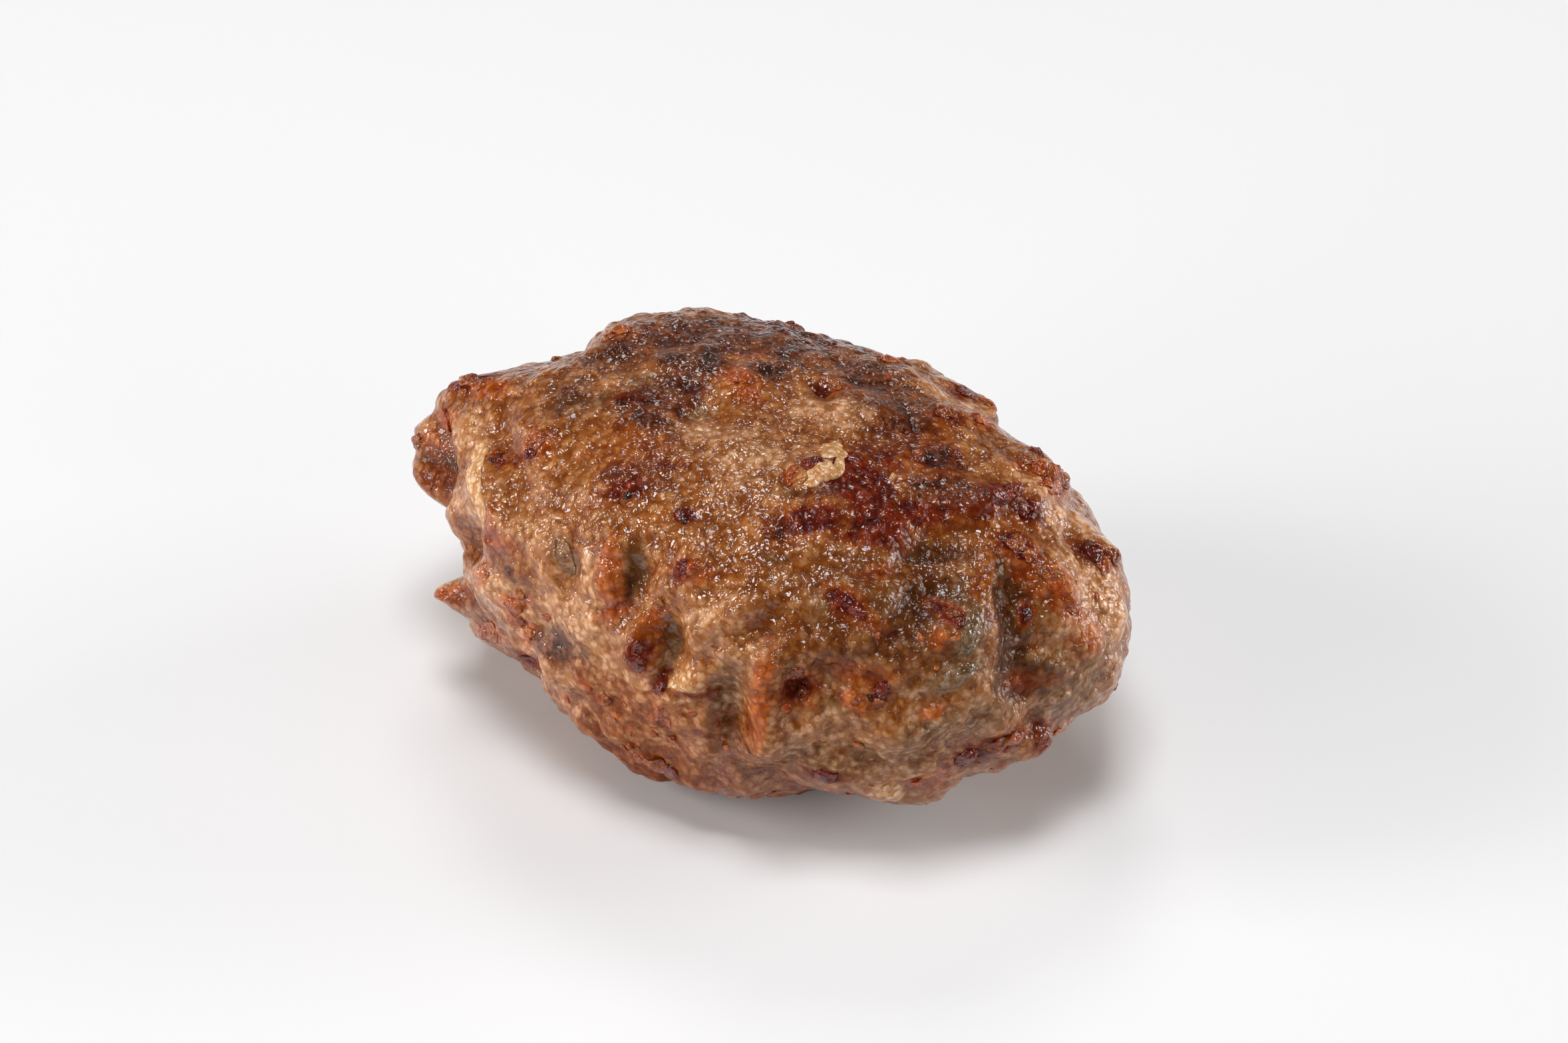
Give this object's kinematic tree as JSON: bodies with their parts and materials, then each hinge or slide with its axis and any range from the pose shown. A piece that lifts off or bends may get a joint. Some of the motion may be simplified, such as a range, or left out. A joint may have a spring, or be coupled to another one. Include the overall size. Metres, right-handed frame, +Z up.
{
  "type": "swedish meatball",
  "caption": "Pan-fried oval meatball with a craggy browned crust, a pressed top and a flat underside it rests on; a whole, uncut piece of food.",
  "frame": {"origin": "under the middle of the meatball's box, on the surface it rests on", "axes": "+X along the meatball's length towards its broader end, +Y across it away from the craggy front, +Z up"},
  "size_m": [0.0484, 0.0326, 0.024],
  "materials": {
    "browned_meat": "fried crust, unevenly browned, moist with cooking fat"
  },
  "bodies": {
    "root": {"meatball": "browned_meat"}
  },
  "joints": []
}
